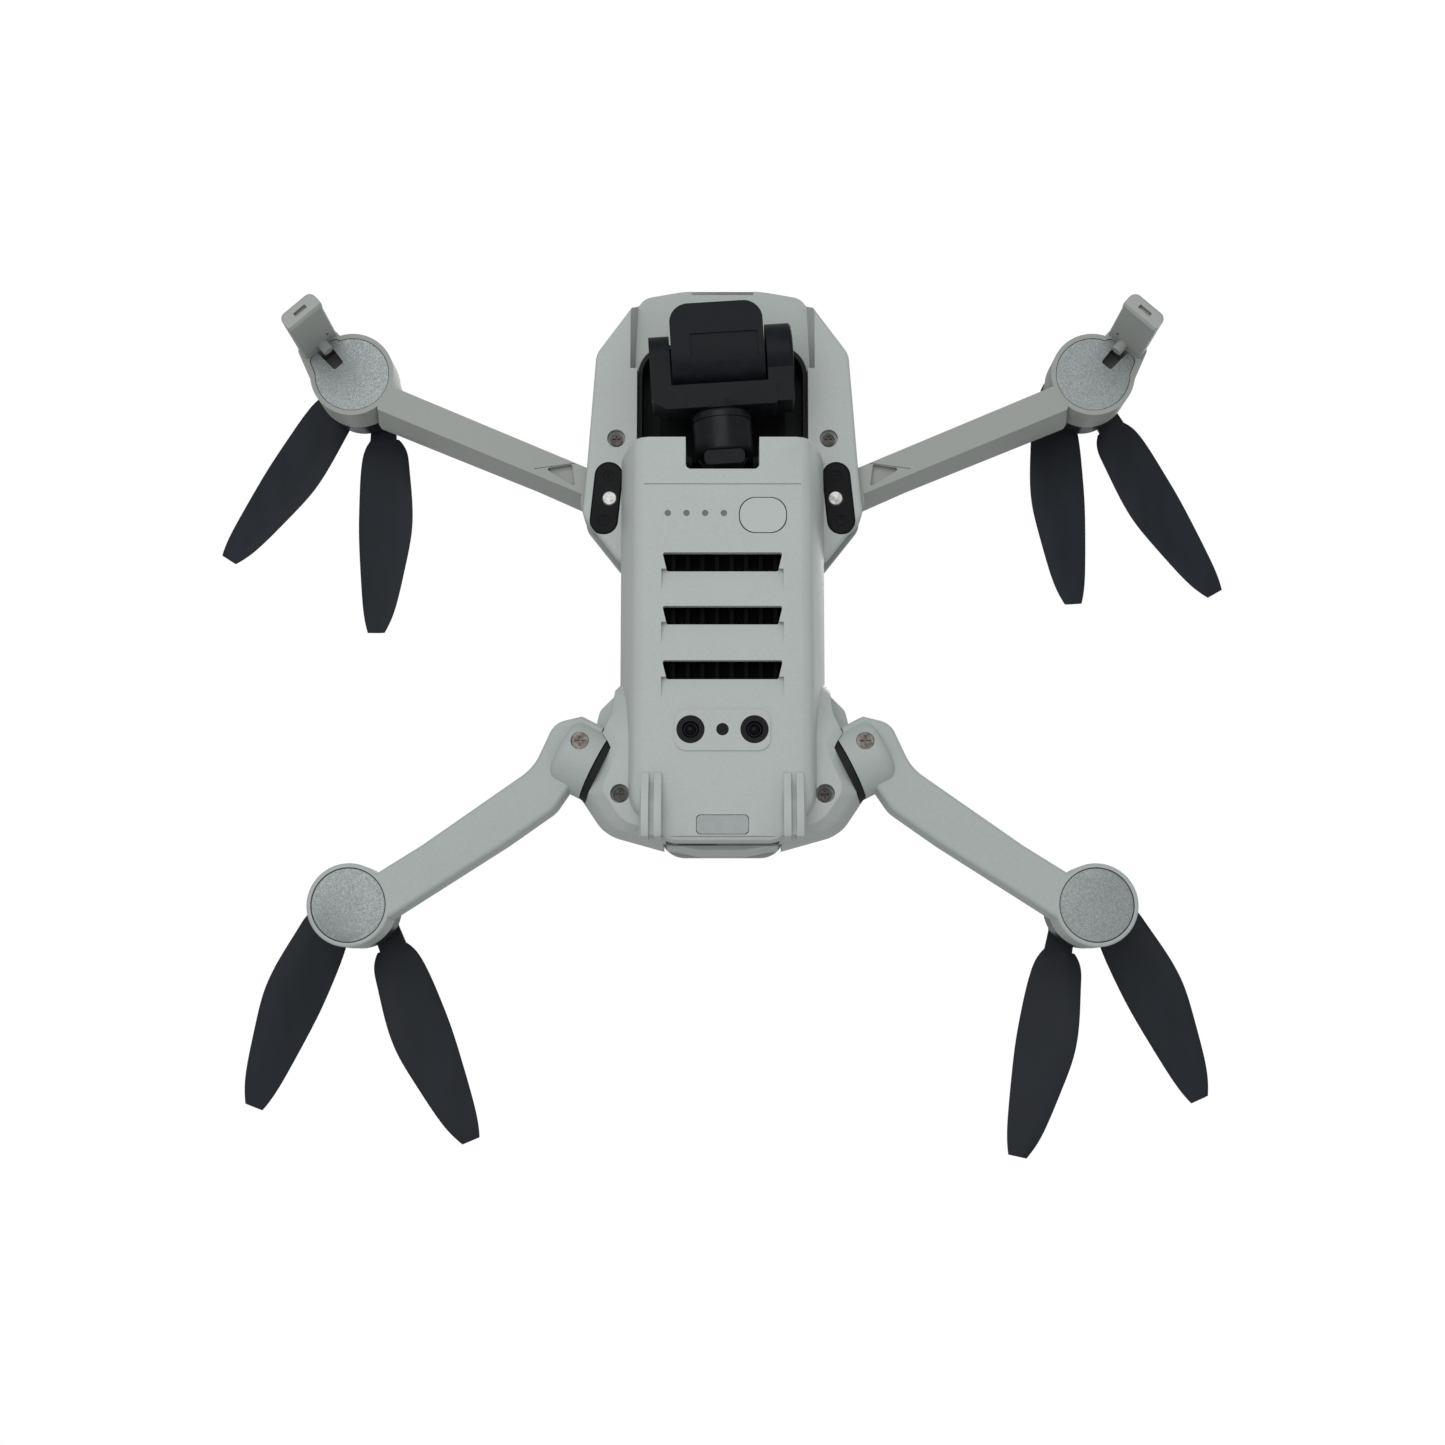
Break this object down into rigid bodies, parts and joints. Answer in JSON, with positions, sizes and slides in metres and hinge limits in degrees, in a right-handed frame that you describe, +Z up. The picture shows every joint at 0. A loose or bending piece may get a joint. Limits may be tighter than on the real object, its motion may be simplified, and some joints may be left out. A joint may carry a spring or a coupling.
{
  "type": "quadcopter drone",
  "caption": "Small folding camera drone with hinged arms, folding propeller blades, landing legs and a three-axis camera gimbal under the nose.",
  "frame": {"origin": "on the ground plane, under the middle of the bounding box of the unfolded drone as it stands on its front legs and rear ribs", "axes": "+X to the drone's right, -Y to the nose and camera, +Z up"},
  "size_m": [0.2462, 0.2054, 0.0525],
  "materials": {
    "upper_shell_grey": "fine matt texture",
    "lower_shell_grey": "fine matt texture",
    "arm_grey": "fine matt texture",
    "inner_plastic": "plain moulded",
    "board_green": "solder mask",
    "heat_sink_metal": "as cast",
    "bay_black": "matt",
    "rubber_black": "matt",
    "motor_metal": "anodised",
    "cover_metal": "speckled silver grey",
    "pin_steel": "turned",
    "lens_glass_black": "dark coated glass",
    "light_clear": "diffusing",
    "gimbal_graphite": "satin graphite",
    "blade_plastic": "satin"
  },
  "bodies": {
    "airframe": {"upper_shell": "upper_shell_grey", "lower_shell": "lower_shell_grey", "inner_frame": "inner_plastic", "battery_pack": "inner_plastic", "main_board": "board_green", "heat_sink": "heat_sink_metal", "gps_module": "board_green", "gimbal_bay_liner": "bay_black", "gimbal_damper_plate": "inner_plastic", "damper_balls": "rubber_black", "gimbal_yaw_motor": "motor_metal", "front_light_lens": "light_clear", "front_pivot_pins": "pin_steel", "rear_hinge_pins": "pin_steel", "shell_screws": "pin_steel", "sensor_lenses": "lens_glass_black", "battery_level_lights": "light_clear", "status_light_window": "light_clear", "port_panel": "inner_plastic", "front_pivot_plate_left": "bay_black", "front_pivot_plate_right": "bay_black", "rear_hinge_seal_left": "rubber_black", "rear_hinge_seal_right": "rubber_black"},
    "battery_hatch_door": {"battery_hatch": "upper_shell_grey"},
    "button_cap": {"power_button": "lower_shell_grey"},
    "gimbal_yaw": {"gimbal_yaw_arm": "gimbal_graphite", "gimbal_roll_motor": "gimbal_graphite"},
    "gimbal_roll": {"gimbal_yoke": "gimbal_graphite", "gimbal_pitch_motor": "gimbal_graphite"},
    "gimbal_camera": {"camera_housing": "gimbal_graphite", "camera_bezel": "gimbal_graphite", "camera_lens": "lens_glass_black"},
    "front_arm_group_left": {"front_arm_left": "arm_grey", "landing_leg_left": "arm_grey", "motor_cover_front_left": "cover_metal", "motor_base_front_left": "motor_metal"},
    "front_arm_group_right": {"front_arm_right": "arm_grey", "landing_leg_right": "arm_grey", "motor_cover_front_right": "cover_metal", "motor_base_front_right": "motor_metal"},
    "rear_arm_group_left": {"rear_arm_left": "arm_grey", "rear_arm_screw_left": "pin_steel", "motor_cover_rear_left": "cover_metal", "motor_base_rear_left": "motor_metal"},
    "rear_arm_group_right": {"rear_arm_right": "arm_grey", "rear_arm_screw_right": "pin_steel", "motor_cover_rear_right": "cover_metal", "motor_base_rear_right": "motor_metal"},
    "rotor_group_front_left": {"rotor_front_left": "motor_metal"},
    "blade_group_a_front_left": {"blade_a_front_left": "blade_plastic"},
    "blade_group_b_front_left": {"blade_b_front_left": "blade_plastic"},
    "rotor_group_front_right": {"rotor_front_right": "motor_metal"},
    "blade_group_a_front_right": {"blade_a_front_right": "blade_plastic"},
    "blade_group_b_front_right": {"blade_b_front_right": "blade_plastic"},
    "rotor_group_rear_left": {"rotor_rear_left": "motor_metal"},
    "blade_group_a_rear_left": {"blade_a_rear_left": "blade_plastic"},
    "blade_group_b_rear_left": {"blade_b_rear_left": "blade_plastic"},
    "rotor_group_rear_right": {"rotor_rear_right": "motor_metal"},
    "blade_group_a_rear_right": {"blade_a_rear_right": "blade_plastic"},
    "blade_group_b_rear_right": {"blade_b_rear_right": "blade_plastic"}
  },
  "joints": [
    {"name": "battery_hatch_hinge", "type": "hinge", "parent": "airframe", "child": "battery_hatch_door", "pos_m": [0, 0.0328, 0.0135], "axis": [-1, 0, 0], "range_deg": [0, 95]},
    {"name": "power_button_press", "type": "slide", "parent": "airframe", "child": "button_cap", "axis": [0, 0, 1], "range_m": [0, 0.0005], "stiffness_N_per_m": 600},
    {"name": "gimbal_yaw_turn", "type": "hinge", "parent": "airframe", "child": "gimbal_yaw", "pos_m": [0, -0.0638, 0.025], "axis": [0, 0, 1], "range_deg": [-16.4, 23.6]},
    {"name": "gimbal_roll_turn", "type": "hinge", "parent": "gimbal_yaw", "child": "gimbal_roll", "pos_m": [0, -0.0638, 0.0135], "axis": [0.0628, 0.998, 0], "range_deg": [-20, 20]},
    {"name": "gimbal_pitch_turn", "type": "hinge", "parent": "gimbal_roll", "child": "gimbal_camera", "pos_m": [-0.0011, -0.08127, 0.014], "axis": [0.998, -0.0628, 0], "range_deg": [-35, 90]},
    {"name": "front_arm_fold_left", "type": "hinge", "parent": "airframe", "child": "front_arm_group_left", "pos_m": [-0.0265, -0.0503, 0.03], "axis": [0, 0, 1], "range_deg": [-114, 0]},
    {"name": "front_arm_fold_right", "type": "hinge", "parent": "airframe", "child": "front_arm_group_right", "pos_m": [0.0265, -0.0503, 0.03], "axis": [0, 0, 1], "range_deg": [0, 114]},
    {"name": "rear_arm_fold_left", "type": "hinge", "parent": "airframe", "child": "rear_arm_group_left", "pos_m": [-0.0273, 0.0143, 0.018], "axis": [-0.891, -0.454, 0], "range_deg": [0, 180]},
    {"name": "rear_arm_fold_right", "type": "hinge", "parent": "airframe", "child": "rear_arm_group_right", "pos_m": [0.0273, 0.0143, 0.018], "axis": [-0.891, 0.454, 0], "range_deg": [0, 180]},
    {"name": "rotor_spin_front_left", "type": "hinge", "parent": "front_arm_group_left", "child": "rotor_group_front_left", "pos_m": [-0.0882, -0.0813, 0.042], "axis": [0, 0, 1], "continuous": true},
    {"name": "blade_a_fold_front_left", "type": "hinge", "parent": "rotor_group_front_left", "child": "blade_group_a_front_left", "pos_m": [-0.09231, -0.08608, 0.0504], "axis": [0, 0, 1], "range_deg": [0, 106]},
    {"name": "blade_b_fold_front_left", "type": "hinge", "parent": "rotor_group_front_left", "child": "blade_group_b_front_left", "pos_m": [-0.08409, -0.07652, 0.0504], "axis": [0, 0, 1], "range_deg": [-41, 0]},
    {"name": "rotor_spin_front_right", "type": "hinge", "parent": "front_arm_group_right", "child": "rotor_group_front_right", "pos_m": [0.0882, -0.0813, 0.042], "axis": [0, 0, 1], "continuous": true},
    {"name": "blade_a_fold_front_right", "type": "hinge", "parent": "rotor_group_front_right", "child": "blade_group_a_front_right", "pos_m": [0.09407, -0.07901, 0.0504], "axis": [0, 0, 1], "range_deg": [-38, 0]},
    {"name": "blade_b_fold_front_right", "type": "hinge", "parent": "rotor_group_front_right", "child": "blade_group_b_front_right", "pos_m": [0.08233, -0.08359, 0.0504], "axis": [0, 0, 1], "range_deg": [0, 115]},
    {"name": "rotor_spin_rear_left", "type": "hinge", "parent": "rear_arm_group_left", "child": "rotor_group_rear_left", "pos_m": [-0.0839, 0.0453, 0.0285], "axis": [0, 0, 1], "continuous": true},
    {"name": "blade_a_fold_rear_left", "type": "hinge", "parent": "rotor_group_rear_left", "child": "blade_group_a_rear_left", "pos_m": [-0.08873, 0.04125, 0.0369], "axis": [0, 0, 1], "range_deg": [0, 107]},
    {"name": "blade_b_fold_rear_left", "type": "hinge", "parent": "rotor_group_rear_left", "child": "blade_group_b_rear_left", "pos_m": [-0.07907, 0.04935, 0.0369], "axis": [0, 0, 1], "range_deg": [-27, 0]},
    {"name": "rotor_spin_rear_right", "type": "hinge", "parent": "rear_arm_group_right", "child": "rotor_group_rear_right", "pos_m": [0.0839, 0.0453, 0.0285], "axis": [0, 0, 1], "continuous": true},
    {"name": "blade_a_fold_rear_right", "type": "hinge", "parent": "rotor_group_rear_right", "child": "blade_group_a_rear_right", "pos_m": [0.08818, 0.04068, 0.0369], "axis": [0, 0, 1], "range_deg": [-112, 0]},
    {"name": "blade_b_fold_rear_right", "type": "hinge", "parent": "rotor_group_rear_right", "child": "blade_group_b_rear_right", "pos_m": [0.07962, 0.04992, 0.0369], "axis": [0, 0, 1], "range_deg": [0, 30]}
  ],
  "couplings": [
    {"joint": "rear_arm_fold_left", "follows": "front_arm_fold_left", "ratio": -1.578},
    {"joint": "rear_arm_fold_right", "follows": "front_arm_fold_right", "ratio": 1.578}
  ]
}
